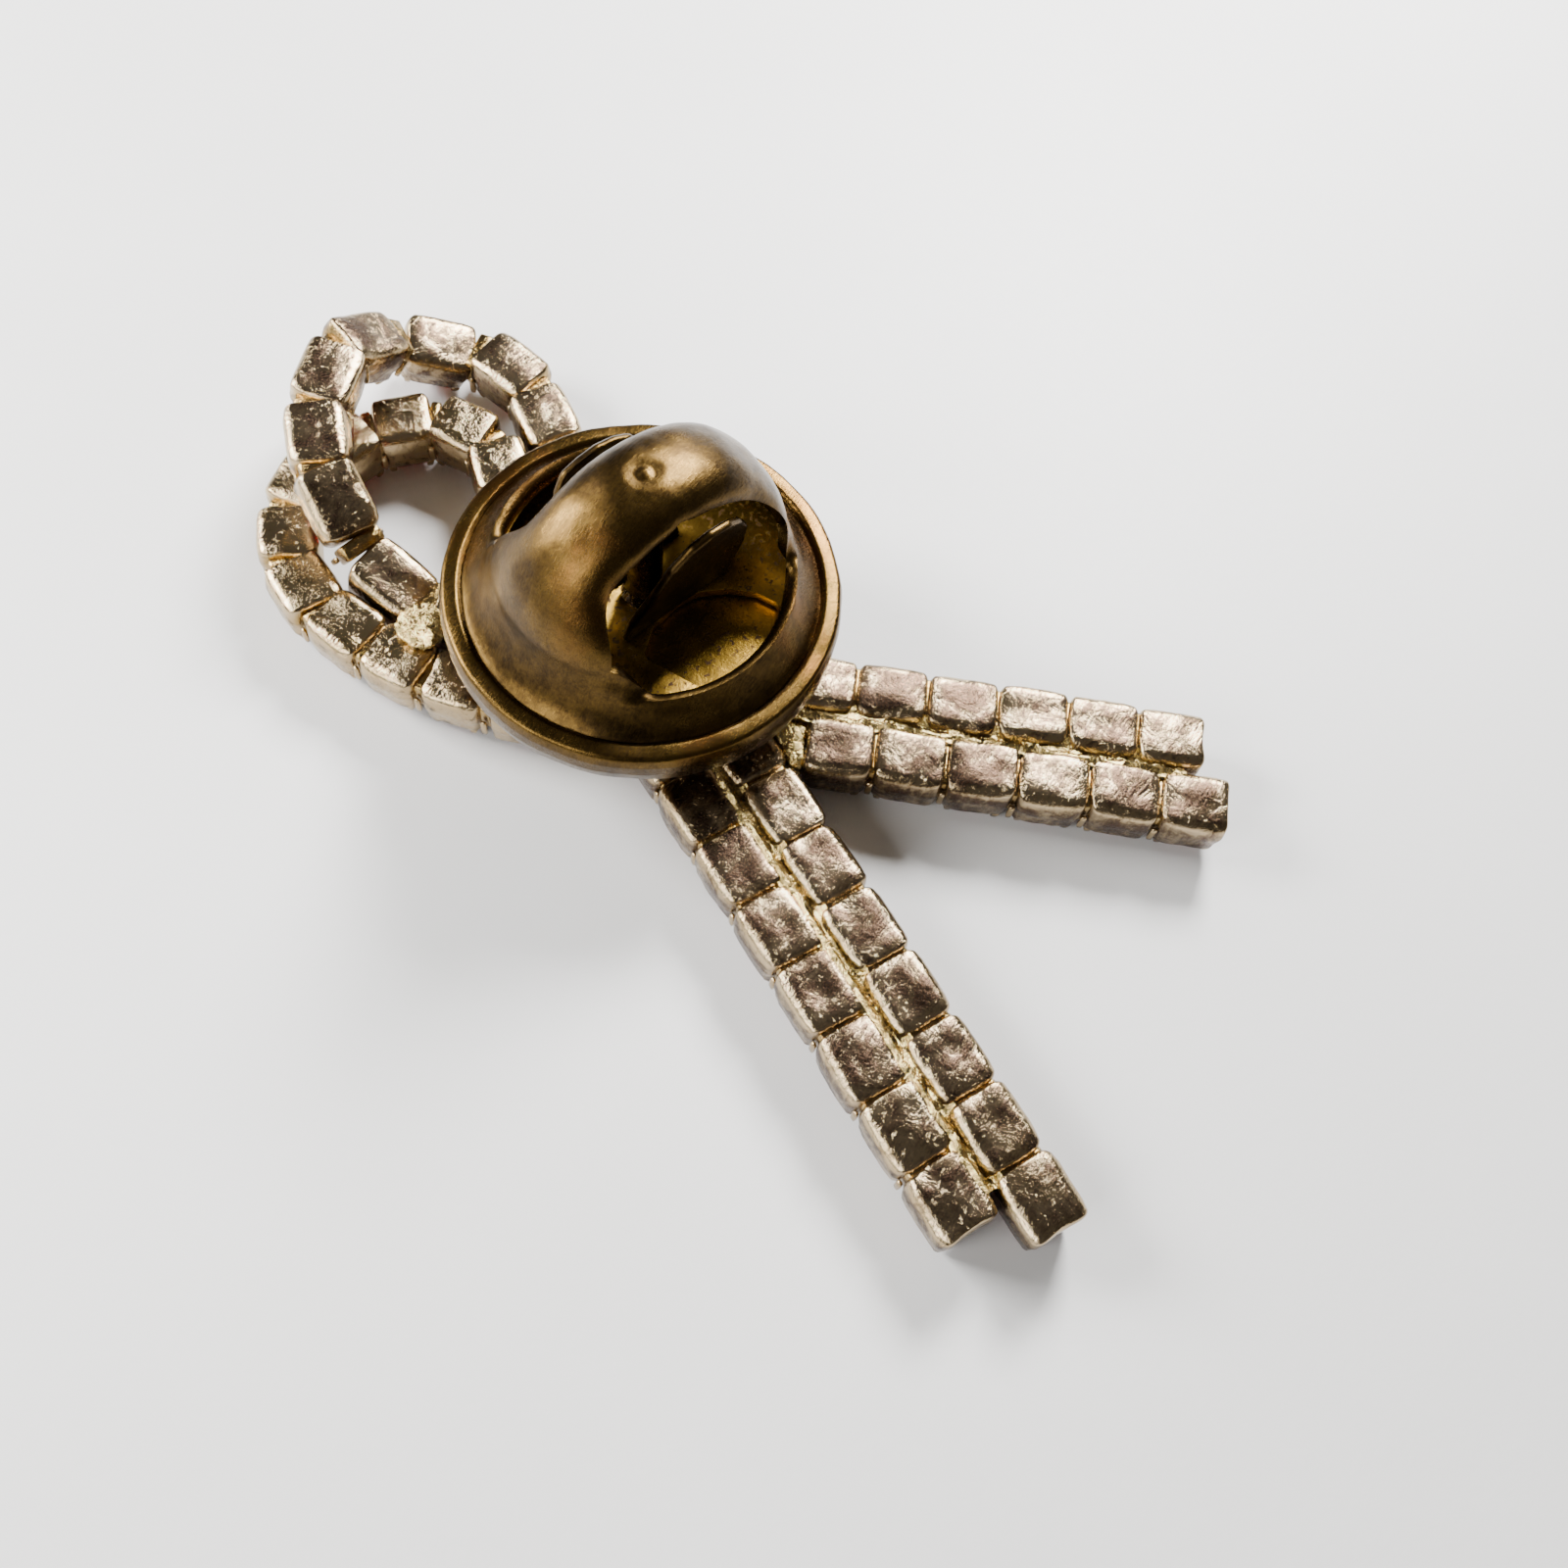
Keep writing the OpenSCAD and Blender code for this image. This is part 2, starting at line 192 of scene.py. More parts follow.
class Finish:
    """A material being wired."""

    def __init__(self, name):
        self.material = bpy.data.materials.new(name)
        self.material.use_nodes = True
        self.tree = self.material.node_tree
        self.tree.nodes.clear()
        self.count = 0

    def node(self, kind, settings=None, sockets=None, out=0):
        """A node with its settings made first, then its sockets filled or linked."""
        made = self.tree.nodes.new(kind)
        made.location = (220 * (self.count % 8), -260 * (self.count // 8))
        self.count += 1
        for key, value in (settings or {}).items():
            setattr(made, key, value)
        for key, value in (sockets or {}).items():
            socket = made.inputs[key]
            if isinstance(value, Wire):
                self.tree.links.new(value.socket, socket)
            elif isinstance(value, (tuple, list)) and socket.type == "RGBA" and len(value) == 3:
                socket.default_value = (*value, 1)
            else:
                socket.default_value = value
        return Wire(self, made.outputs[out]) if len(made.outputs) else made

    def place(self, stretch=(1, 1, 1), turn=(0, 0, 0)):
        """Object coordinates, stretched and turned."""
        at = self.node("ShaderNodeTexCoord", out="Object")
        return self.node("ShaderNodeMapping", {}, {"Vector": at, "Rotation": turn, "Scale": stretch})

    def grain(self, scale, detail=4.0, rough=0.6, at=None, twist=0.0):
        """Noise of so many features per metre."""
        return self.node(
            "ShaderNodeTexNoise",
            {},
            {
                "Vector": at or self.place(), "Scale": scale, "Detail": detail, "Roughness": rough,
                "Distortion": twist,
            },
        )

    def mix(self, share, a, b):
        """Colour a turning into colour b by share."""
        return self.node(
            "ShaderNodeMix", {"data_type": "RGBA"}, {0: share, 6: a, 7: b}, out=2
        )

    def bump(self, height, depth, strength):
        """Relief of that depth, in metres."""
        sockets = {"Height": height, "Distance": depth, "Strength": strength}
        return self.node("ShaderNodeBump", {}, sockets)

    def done(self, **sockets):
        """Ends in a Principled shader with these sockets."""
        named = {key.replace("_", " "): value for key, value in sockets.items()}
        shader = self.node("ShaderNodeBsdfPrincipled", {}, named)
        self.node("ShaderNodeOutputMaterial", {}, {"Surface": shader})
        return self.material


def tarnished_plate(name, share, look):
    """Silver plate with brown patina: bright on the shoulders, dark and yellowed in the grooves, and darker
    down the cups' walls, where painted shade is mixed with speckled grime.
    """
    f = Finish(name)
    # Per-vertex values: rubbed shoulders, depth down the walls (for the yellowed grooves and the painted
    # shade), and nearness to a joint
    wear_and_shade = f.node("ShaderNodeAttribute", {"attribute_name": "wear_and_shade"}, out="Color")
    tone = f.node("ShaderNodeAttribute", {"attribute_name": "wear_and_shade"}, out="Alpha")
    parts = f.node("ShaderNodeSeparateColor", {}, {"Color": wear_and_shade}).socket.node
    shoulder, depth, joint = (Wire(f, parts.outputs[i]) for i in range(3))
    blotch = f.grain(1150, 6, 0.66, twist=0.6)
    speck = f.grain(4200, 5, 0.7)
    fine = f.grain(15000, 2, 0.6)
    streak = f.grain(1500, 4, 0.7, at=f.place((1, 7, 2), (0, 0, 1.1)))
    level = blotch * 0.52 + speck * 0.3 + streak * 0.18 + tone * 0.2 + share - shoulder * 0.24
    patina = level.ramp(0.44, 0.62)
    brown = f.mix(speck.ramp(0.4, 0.62), tuple(look.patina), tuple(c * 1.9 for c in look.patina))
    warm = tuple(0.78 * a + 0.22 * b for a, b in zip(look.plate, look.gilt))
    metal = f.mix(blotch.ramp(0.38, 0.62), tuple(look.plate), warm)
    base = f.mix(patina, metal, brown)
    yellow = f.mix(speck.ramp(0.35, 0.65), tuple(look.gilt), tuple(0.5 * c for c in look.gilt))
    groove = (joint + depth * 0.35 - shoulder * 0.2 + blotch * 0.5).ramp(0.65, 1.15, 0, 0.7)
    base = f.mix(groove, base, yellow)
    # Painted shade with some real grime: the cups' walls darken towards the stones and the table, where
    # shade falls, and specks break the darkening up
    grime_and_shade = (depth * 0.85 + speck * 0.5 - 0.25 + joint * 0.25).ramp(0.62, 1.02)
    smut = speck.ramp(0.52, 0.62) * blotch.ramp(0.46, 0.6)
    base = f.mix((smut * (1 - shoulder)) * 0.6, base, SMUT)
    base = f.mix(grime_and_shade * 0.75, base, GRIME_AND_SHADE)
    pits = speck.ramp(0.3, 0.4, 1, 0) * 0.5
    height = blotch * 1.0 + speck * 0.22 + streak * 0.3 - pits * 0.2
    return f.done(
        Base_Color=base,
        Metallic=(1 - grime_and_shade * 0.5),
        Roughness=(patina * 0.13 + fine * 0.1 + 0.09 + grime_and_shade * 0.2),
        Normal=f.bump(height, 0.00007, 0.8),
    )


def bright_solder(name, look):
    """Solder that ran and froze: bright, yellowish, wrinkled, with brown in its hollows."""
    f = Finish(name)
    lump = f.grain(1400, 5, 0.6, twist=1.2)
    fine = f.grain(6000, 4, 0.65)
    dull = (lump * 0.6 + fine * 0.4).ramp(0.4, 0.62)
    dim = tuple(0.42 * a + 0.25 * b for a, b in zip(look.solder, look.gilt))
    base = f.mix(dull, tuple(look.solder), dim)
    base = f.mix(fine.ramp(0.34, 0.45, 1, 0) * 0.7, base, (0.08, 0.055, 0.03))
    return f.done(
        Base_Color=base, Metallic=1.0, Roughness=dull * 0.2 + 0.1,
        Normal=f.bump(lump * 1.0 + fine * 0.4, 0.00012, 1.0),
    )


def aged_brass(name, rubbing_and_shade, look):
    """Brass gone brown, rubbed to olive gold, with copper tints and a fine brushed grain; a negative shift
    makes a darker copy that is painted shade.
    """
    f = Finish(name)
    cloud = f.grain(260, 5, 0.6, twist=0.4)
    blotch = f.grain(1700, 6, 0.7)
    fine = f.grain(9000, 4, 0.7)
    brushed = f.grain(2600, 5, 0.7, at=f.place((1, 9, 3), (0.2, 0.1, 0.6)))
    level = cloud * 0.42 + blotch * 0.2 + fine * 0.16 + brushed * 0.22 + rubbing_and_shade
    gold = level.ramp(0.36, 0.66)
    copper = f.mix(cloud.ramp(0.52, 0.68), tuple(look.brass), (0.115, 0.055, 0.014))
    dark = f.mix(blotch.ramp(0.42, 0.6), tuple(look.tarnish), (0.04, 0.024, 0.009))
    base = f.mix(gold, dark, copper)
    base = f.mix(fine.ramp(0.6, 0.75) * 0.35, base, BRASS_DIRT)
    return f.done(
        Base_Color=base, Metallic=1.0,
        Roughness=(1 - gold) * 0.12 + fine * 0.16 + 0.15,
        Normal=f.bump(blotch * 0.5 + fine * 0.3 + brushed * 0.5, 0.00002, 0.8),
    )


def spotted_brass(name, look):
    """Yellow spring brass with dark specks."""
    f = Finish(name)
    cloud = f.grain(900, 4, 0.6)
    speck = f.grain(5200, 3, 0.55)
    fine = f.grain(14000, 3, 0.6)
    base = f.mix(cloud.ramp(0.4, 0.62), tuple(look.spring), tuple(0.5 * c for c in look.spring))
    spots = speck.ramp(0.55, 0.62) * cloud.ramp(0.36, 0.5)
    base = f.mix(spots * 0.85, base, (0.07, 0.03, 0.012))
    return f.done(
        Base_Color=base, Metallic=(1 - spots * 0.5),
        Roughness=cloud * 0.2 + fine * 0.12 + 0.2 + spots * 0.2,
        Normal=f.bump(fine * 0.4 + speck * 0.3, 0.00003, 0.7),
    )


def red_glass(name, look):
    """Red glass with faint swirls."""
    f = Finish(name)
    swirl = f.grain(700, 2, 0.5)
    base = f.mix(swirl.ramp(0.4, 0.6), tuple(look.stone), tuple(0.7 * c for c in look.stone))
    return f.done(
        Base_Color=base, Roughness=swirl * 0.02 + 0.015, IOR=1.56, Transmission_Weight=0.75,
        Normal=f.bump(swirl, 0.00001, 0.3),
    )


def pale_table(name):
    """Smooth pale table top with a faint mottle."""
    f = Finish(name)
    mottle = f.grain(60, 4, 0.6)
    fine = f.grain(2500, 3, 0.6)
    base = f.mix(mottle.ramp(0.35, 0.65), (0.735, 0.725, 0.71), (0.76, 0.75, 0.735))
    return f.done(
        Base_Color=base, Roughness=fine * 0.06 + 0.5, Normal=f.bump(fine, 0.00002, 0.25),
    )


# ---------------------------------------------------------------- mesh helpers, in millimetres


def finished(bm, name, body, nodes, materials, sharp=38, modifiers=()):
    """Turns a bmesh in millimetres into a named piece that rides on its body and stands for its nodes."""
    bmesh.ops.scale(bm, vec=(MM, MM, MM), verts=bm.verts)
    mesh = bpy.data.meshes.new(name)
    bm.to_mesh(mesh)
    bm.free()
    for material in materials:
        mesh.materials.append(material)
    mesh.polygons.foreach_set("use_smooth", [True] * len(mesh.polygons))
    mesh.set_sharp_from_angle(angle=sharp * TURN)
    piece = bpy.data.objects.new(name, mesh)
    bpy.context.collection.objects.link(piece)
    for kind, settings in modifiers:
        modifier = piece.modifiers.new(kind.title(), kind)
        for key, value in settings.items():
            setattr(modifier, key, value)
    if body:
        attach(piece, body)
        if nodes:
            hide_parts(*nodes)
    return piece


def eased(low, high, value):
    """A soft step from 0 to 1 as value goes from low to high."""
    x = min(1.0, max(0.0, (value - low) / (high - low)))
    return x * x * (3 - 2 * x)


def rounded_block(half, radii, cuts, share=0.5):
    """A box cut into a grid on every face, with its edges rounded by a radius along each axis."""
    bm = bmesh.new()
    bmesh.ops.create_cube(bm, size=2)
    bmesh.ops.subdivide_edges(bm, edges=bm.edges[:], cuts=cuts, use_grid_fill=True)
    for v in bm.verts:
        over = Vector([max(0.0, (abs(c) - share) / (1 - share)) for c in v.co])
        long = over.length or 1.0
        v.co = Vector(
            [
                math.copysign((h - r) * min(1.0, abs(c) / share) + r * o / long, c)
                for c, o, h, r in zip(v.co, over, half, radii)
            ]
        )
    return bm


class Stamp:
    """A small mesh that is copied many times, with values on every vertex for the wear on its shoulders,
    its depth down the walls, which also sets painted shade, and its joints.
    """

    def __init__(self, bm, wear_and_shade):
        self.wear_and_shade = [wear_and_shade(v.co) for v in bm.verts]
        self.mesh = bpy.data.meshes.new("stamp")
        bm.to_mesh(self.mesh)
        bm.free()

    def press(self, bm, matrix, shape=None, tone=0.5):
        """Copies the stamp into bm, bends it by shape, and puts it in place."""
        first = len(bm.verts)
        bm.from_mesh(self.mesh)
        bm.verts.ensure_lookup_table()
        fresh = bm.verts[first:]
        for v in fresh:
            if shape:
                v.co = shape(v.co.copy())
            v.co = matrix @ v.co
        layer = bm.verts.layers.float_color.get("wear_and_shade") or bm.verts.layers.float_color.new("wear_and_shade")
        bm.verts.ensure_lookup_table()
        for v, (a, b, c) in zip(bm.verts[first:], self.wear_and_shade):
            v[layer] = (a, b, c, tone)


def rounded_outline(points, radii, steps=4):
    """The points of an outline with every corner turned into an arc of its radius."""
    out = []
    for i, (point, r) in enumerate(zip(points, radii)):
        p = Vector(point)
        a = Vector(points[i - 1]) - p
        b = Vector(points[(i + 1) % len(points)]) - p
        half = a.angle(b) / 2
        r = min(r, 0.45 * min(a.length, b.length) * math.tan(half))
        if r <= 0 or half > 88 * TURN:
            out.append(tuple(p))
            continue
        reach = r / math.tan(half)
        middle = p + (a.normalized() + b.normalized()).normalized() * (r / math.sin(half))
        start = p + a.normalized() * reach - middle
        end = p + b.normalized() * reach - middle
        first = math.atan2(start.y, start.x)
        sweep = (math.atan2(end.y, end.x) - first + math.pi) % (2 * math.pi) - math.pi
        for k in range(steps + 1):
            angle = first + sweep * k / steps
            out.append((middle.x + r * math.cos(angle), middle.y + r * math.sin(angle)))
    return out


def turned(points, steps=96):
    """A closed outline of (radius, height) spun about the post's axis."""
    bm = bmesh.new()
    ring = bmesh.ops.create_circle(bm, segments=len(points), radius=1)["verts"]
    for v, (r, z) in zip(ring, points):
        v.co = (r, 0, z)
    bmesh.ops.spin(
        bm, geom=bm.verts[:] + bm.edges[:], cent=(0, 0, 0), axis=(0, 0, 1), angle=2 * math.pi, steps=steps,
        use_merge=True,
    )
    bmesh.ops.remove_doubles(bm, verts=bm.verts, dist=1e-4)
    bmesh.ops.recalc_face_normals(bm, faces=bm.faces)
    return bm


def roughen(bm, size, depth, seed=0.0, keep=None):
    """Moves vertices along their normals by soft noise with features of about that size."""
    bm.normal_update()
    shift = Vector((seed, -seed, 2 * seed))
    moves = [(v, v.normal * (depth * noise.fractal(v.co / size + shift, 0.6, 2.0, 3))) for v in bm.verts]
    for v, move in moves:
        if keep is None or keep(v.co):
            v.co += move


# ---------------------------------------------------------------- the ribbon's layout


def bend(degrees, radius):
    """One run of a loop strip: its length and its radius, which is negative for a right turn."""
    return degrees * TURN * abs(radius), radius


class Ribbon:
    """Where every cup sits, from the ribbon's sizes."""

    def __init__(self, sizes):
        self.pitch = sizes.pitch / MM
        self.width = sizes.cup_width / MM
        self.thick = sizes.thickness / MM
        self.seam = sizes.seam / MM
        self.k = self.pitch / DESIGN_PITCH
        self.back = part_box("post_pad")[0][2] / MM
        self.left = math.radians(270) - sizes.spread
        self.right = math.radians(270) + sizes.spread
        step = self.width + self.seam
        k = self.k
        self.left_mid, self.right_mid = -0.31 * k, -1.78 * k
        self.legs = {
            "left_outer": (self.left, self.left_mid - step / 2, 19.6 * k, 10),
            "left_inner": (self.left, self.left_mid + step / 2, 20.8 * k, 11),
            "right_outer": (self.right, self.right_mid + step / 2, 17.2 * k, 6),
            "right_inner": (self.right, self.right_mid - step / 2, 17.95 * k, 6),
        }
        both = 2 * sizes.spread / TURN
        self.loops = {
            "loop_upper": (
                self.left_mid + step / 2,
                [(2.6, 0), bend(5.5, -6), (6.42, 0), bend(128, 3.1), bend(57.5 + both, 5.94)],
                3.9, 2.35, 11, True,
            ),
            "loop_lower": (
                self.left_mid - step / 2,
                [(5.28, 0), bend(19.4, -6), bend(85, 2.4), bend(132, 4.08), bend(both - 17.6, 12.3)],
                3.64, 1.955, 13, False,
            ),
        }

    def lift(self, s):
        """How far the upper strip stands over the table level at distance s along it."""
        def ease(x):
            return (1 - math.cos(math.pi * min(1.0, max(0.0, x)))) / 2
        return (self.thick + 0.1) * (ease((s - 12.6) / 4.6) - ease((s - 21.0) / 5.0))

    def on_leg(self, leg, s):
        angle, off = self.legs[leg][:2]
        return Matrix.Rotation(angle, 4, "Z") @ Matrix.Translation((s, off, self.back))

    def on_loop(self, loop, s):
        """Frame on a loop strip: x along it, y to its left, z out of its back."""
        off, runs, raised = self.loops[loop][0], self.loops[loop][1], self.loops[loop][5]
        x, y = -off * math.sin(self.left), off * math.cos(self.left)
        heading = self.left - math.pi
        rest = s
        for long, radius in runs + [(1e9, 0)]:
            go = min(rest, long)
            if radius == 0:
                x += go * math.cos(heading)
                y += go * math.sin(heading)
            else:
                after = heading + go / radius
                x += radius * (math.sin(after) - math.sin(heading))
                y -= radius * (math.cos(after) - math.cos(heading))
                heading = after
            rest -= go
            if rest <= 0:
                break
        up = self.lift(s) if raised else 0.0
        tilt = math.atan2(self.lift(s + 0.3) - self.lift(s - 0.3), 0.6) if raised else 0.0
        place = Matrix.Translation((x * self.k, y * self.k, self.back + up))
        return place @ Matrix.Rotation(heading, 4, "Z") @ Matrix.Rotation(-tilt, 4, "Y")


# ---------------------------------------------------------------- the ribbon's pieces


def cup_stamp(ribbon, cuts, share):
    """One cup: flat back with round shoulders, upright sides with a fold, and a pocket in front."""
    hx, hy, hz = share * ribbon.pitch / 2, ribbon.width / 2, BODY_SHARE * ribbon.thick / 2
    bm = rounded_block((hx, hy, hz), (0.14, 0.34, 0.25), cuts)
    pocket = [
        v for v in bm.verts
        if v.co.z < 1e-4 - hz and abs(v.co.x) < hx - 0.12 and abs(v.co.y) < hy - 0.26
    ]
    for v in bm.verts:
        low = (hz - v.co.z) / (2 * hz)
        round_x = 0.11 * (abs(v.co.y) / hy) ** 6
        round_y = 0.09 * (abs(v.co.x) / hx) ** 5
        fold = 0.035 * math.exp(-(((low - 0.42) / 0.14) ** 2))
        v.co.y *= 1 - round_y + fold - 0.04 * eased(0.5, 0.9, low)
        v.co.x *= 1 - round_x - 0.05 * eased(0.35, 0.7, low)
        v.co.z -= hz + 0.05 * max(abs(v.co.x) / hx, abs(v.co.y) / hy) ** 3 * (1 - low)
    for v in pocket:
        v.co.z += 0.42 * ribbon.thick

    # Shoulder wear, depth down the wall (which also sets the painted shade on the lower walls), and
    # nearness to a joint
    def wear_and_shade(co):
        near = min(2.0 * (hx - abs(co.x)), hy - abs(co.y))
        return (
            max(0.0, 1 - near / 0.34) * max(0.0, 1 + co.z / 0.4),
            min(1.0, -co.z / (2 * hz)),
            max(0.0, 1 - (hx - abs(co.x)) / 0.16) * eased(0.02, 0.2, -co.z),
        )

    return Stamp(bm, wear_and_shade), (hx, hy, hz)


def rolled(roll, hz):
    """A turn of roll degrees about the line along the middle of a cup."""
    turn = Matrix.Rotation(roll * TURN, 4, "X")
    return Matrix.Translation((0, 0, -hz)) @ turn @ Matrix.Translation((0, 0, hz))


def small_stamp(half, radii, wear_and_shade, cuts=3):
    return Stamp(rounded_block(half, radii, cuts), lambda co: wear_and_shade)


def strip_piece(context, name, ribbon, places, gaps, share, dents, material, tones, seed):
    """A strip of cups with the links between them and the claws round each stone."""
    cup, (hx, hy, hz) = cup_stamp(ribbon, context.scene.pin_ribbon.grid, share)
    ends = {0: 1, len(places) - 1: -1}
    claw = small_stamp((0.11, 0.09, 0.2), (0.06, 0.06, 0.09), (0.3, 0.55, 0.1), 2)
    knob = small_stamp((0.1, 0.07, 0.34), (0.06, 0.06, 0.1), (0.8, 0.35, 0.1), 2)
    dice = random.Random(seed)
    bm = bmesh.new()
    for i, (place, roll) in enumerate(places):
        shift = Vector((dice.uniform(0, 90), dice.uniform(0, 90), dice.uniform(0, 90)))
        twist = dice.uniform(-0.05, 0.05)
        sag = dice.uniform(-0.015, 0.03)
        end = ends.get(i, 0)

        def dented(co, shift=shift, twist=twist, sag=sag, end=end):
            out = co.copy()
            soft = noise.noise(co * 1.15 + shift) * dents + noise.noise(co * 2.9 + shift) * dents * 0.45
            back = eased(-0.5, -0.05, co.z)
            out.z += soft * back - sag * back * (1 - (co.x / hx) ** 2) * (1 - (co.y / hy) ** 2)
            side = 1 - back
            out.y += math.copysign(noise.noise(co * 1.6 - shift) * dents * 0.8 * side, co.y)
            out.x += 0.03 * noise.noise(Vector((co.y * 1.7, co.z, 3)) + shift)
            out.y += twist * co.x * 0.6
            if end and co.x * end > 0.6 * hx:
                out.x -= end * 0.13 * (1 - (co.y / hy) ** 2) * eased(0.6 * hx, hx, co.x * end)
                out.z += 0.03 * eased(0.7 * hx, hx, co.x * end) * back
            return out

        jitter = (
            Matrix.Translation((0, dice.uniform(-0.02, 0.02), dice.uniform(-0.03, 0.0)))
            @ Matrix.Rotation(dice.uniform(-1.2, 1.2) * TURN, 4, "X")
            @ Matrix.Rotation(dice.uniform(-1.0, 1.0) * TURN, 4, "Y")
        )
        spot = place @ rolled(roll, hz)
        cup.press(bm, spot @ jitter, dented, tones[i])
        for sx in (-1, 1):
            for sy in (-1, 1):
                lean = Matrix.Rotation(-sy * 14 * TURN, 4, "X") @ Matrix.Rotation(sx * 10 * TURN, 4, "Y")
                claw.press(
                    bm,
                    spot @ Matrix.Translation((sx * (hx - 0.34), sy * (hy - 0.25), -2 * hz - 0.07)) @ lean,
                    tone=0.4,
                )
    for place, gap in gaps:
        half = gap / 2 + 0.15
        link = small_stamp((half, 0.38 * ribbon.width, 0.5), (0.08, 0.1, 0.12), (0.3, 0.3, 0.8), 3)
        link.press(bm, place @ Matrix.Translation((0, 0, -0.72)), tone=0.3)
        for sy in (-1, 1):
            along = dice.uniform(-0.03, 0.03)
            height = -1.0 + dice.uniform(-0.1, 0.1)
            knob.press(bm, place @ Matrix.Translation((along, sy * (hy - 0.1), height)), tone=0.2)
    return finished(
        bm, name + "_cups", "badge", [name + "_strip"], [material], sharp=70
    )


def leg_places(ribbon, leg):
    far, count = ribbon.legs[leg][2:]
    centres = [far - 0.45 * ribbon.pitch - i * ribbon.pitch for i in range(count)]
    places = [(ribbon.on_leg(leg, s), 0.0) for s in centres]
    gaps = [
        (ribbon.on_leg(leg, s - ribbon.pitch / 2), 0.03 * ribbon.pitch) for s in centres[:-1]
    ]
    return places, gaps


def loop_places(ribbon, loop, rolls):
    first, pitch, count = ribbon.loops[loop][2:5]
    places = [
        (ribbon.on_loop(loop, first + i * pitch), rolls.get(i, 0.0)) for i in range(count)
    ]
    gaps = [
        (ribbon.on_loop(loop, first + (i + 0.5) * pitch), max(0.06, pitch - ribbon.pitch))
        for i in range(count - 1)
    ]
    return places, gaps


def stone_stamp(ribbon):
    """A square stone with cut corners: flat front, stepped crown, girdle and a short pavilion."""
    half = 0.36 * ribbon.width
    bm = bmesh.new()
    bmesh.ops.create_cube(bm, size=1)
    bmesh.ops.scale(bm, vec=(2 * half, 2 * half, 0.1), verts=bm.verts)
    upright = [e for e in bm.edges if abs(e.verts[0].co.z - e.verts[1].co.z) > 0.05]
    bmesh.ops.bevel(
        bm, geom=upright, offset=0.16, offset_type="OFFSET", segments=1, profile=0.5,
        affect="EDGES", material=-1,
    )
    bm.normal_update()
    front = [f for f in bm.faces if f.normal.z < -0.9]
    bmesh.ops.inset_region(bm, faces=front, thickness=0.13, depth=0.2, use_even_offset=True)
    bmesh.ops.inset_region(bm, faces=front, thickness=0.14, depth=0.12, use_even_offset=True)
    bm.normal_update()
    rear = [f for f in bm.faces if f.normal.z > 0.9]
    bmesh.ops.inset_region(bm, faces=rear, thickness=0.44, depth=0.55, use_even_offset=True)
    low = min(v.co.z for v in bm.verts)
    bmesh.ops.translate(bm, vec=(0, 0, -ribbon.thick - low), verts=bm.verts)
    return Stamp(bm, lambda co: (0, 0, 0))


def stones_piece(name, ribbon, places, material):
    stone = stone_stamp(ribbon)
    hz = BODY_SHARE * ribbon.thick / 2
    bm = bmesh.new()
    for place, roll in places:
        stone.press(bm, place @ rolled(roll, hz))
    return finished(bm, name + "_glass", "badge", [name + "_stones"], [material], sharp=5)


def seam_piece(name, ribbon, angle, middle, near, far, material, seed):
    """Solder run along the gap between two strips: a wavy ridge beside a narrow valley."""
    bm = bmesh.new()
    bmesh.ops.create_grid(bm, x_segments=int((far - near) / 0.09), y_segments=10, size=1)
    half = ribbon.seam / 2 + 0.3
    turn = Matrix.Rotation(angle, 4, "Z")
    for v in bm.verts:
        s = near + (far - near) * (v.co.x + 1) / 2
        side = v.co.y
        wave = noise.noise(Vector((s * 1.3, seed, 0))) + 0.5 * noise.noise(Vector((s * 3.1, seed, 4)))
        crest = -0.42 + 0.25 * wave
        z = -0.24 + 0.12 * abs(side) ** 2.2
        swell = 1 + 0.5 * noise.noise(Vector((s * 0.8, 5, seed)))
        z += 0.2 * math.exp(-(((side - crest) / 0.24) ** 2)) * swell
        z += 0.09 * noise.noise(Vector((s * 2.4, side * 1.5, seed)))
        sink = 0.7 + noise.noise(Vector((s * 0.9, 9, seed)))
        z -= 0.14 * math.exp(-(((side - 0.45) / 0.3) ** 2)) * sink
        y = middle + side * half + 0.03 * wave
        v.co = turn @ Vector((s, y, ribbon.back + z))
    walls = bmesh.ops.extrude_face_region(bm, geom=bm.faces[:])
    lower = [e for e in walls["geom"] if isinstance(e, bmesh.types.BMVert)]
    bmesh.ops.translate(bm, vec=(0, 0, -0.5), verts=lower)
    bmesh.ops.recalc_face_normals(bm, faces=bm.faces)
    return finished(bm, name + "_bead", "badge", [name], [material], sharp=80)


def solder_from_node(node, material, seed, depth=0.1):
    """A run of solder: the node's plain blocks, cut fine, softened and roughened."""
    bm = bmesh.new()
    bm.from_mesh(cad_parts[node].data)
    bmesh.ops.scale(bm, vec=(1 / MM, 1 / MM, 1 / MM), verts=bm.verts)
    bmesh.ops.remove_doubles(bm, verts=bm.verts, dist=1e-3)
    bmesh.ops.dissolve_limit(bm, angle_limit=2 * TURN, verts=bm.verts, edges=bm.edges)
    bmesh.ops.triangulate(bm, faces=bm.faces)
    for _ in range(4):
        long = [e for e in bm.edges if e.calc_length() > 0.22]
        bmesh.ops.subdivide_edges(bm, edges=long, cuts=1)
        bmesh.ops.triangulate(bm, faces=bm.faces)
    for _ in range(4):
        bmesh.ops.smooth_vert(
            bm, verts=bm.verts, factor=0.4, use_axis_x=True, use_axis_y=True, use_axis_z=True
        )
    roughen(bm, 0.6, depth, seed)
    return finished(bm, node + "_run", "badge", [node], [material], sharp=80)


# ---------------------------------------------------------------- post and clutch


def clutch_scale(sizes):
    return sizes.diameter / MM / DESIGN_CLUTCH


def facing_arch(bm, sizes):
    """Turns a piece that was made along X to the arch's direction."""
    turn = Matrix.Rotation(sizes.direction, 3, "Z")
    bmesh.ops.rotate(bm, cent=(0, 0, 0), matrix=turn, verts=bm.verts)


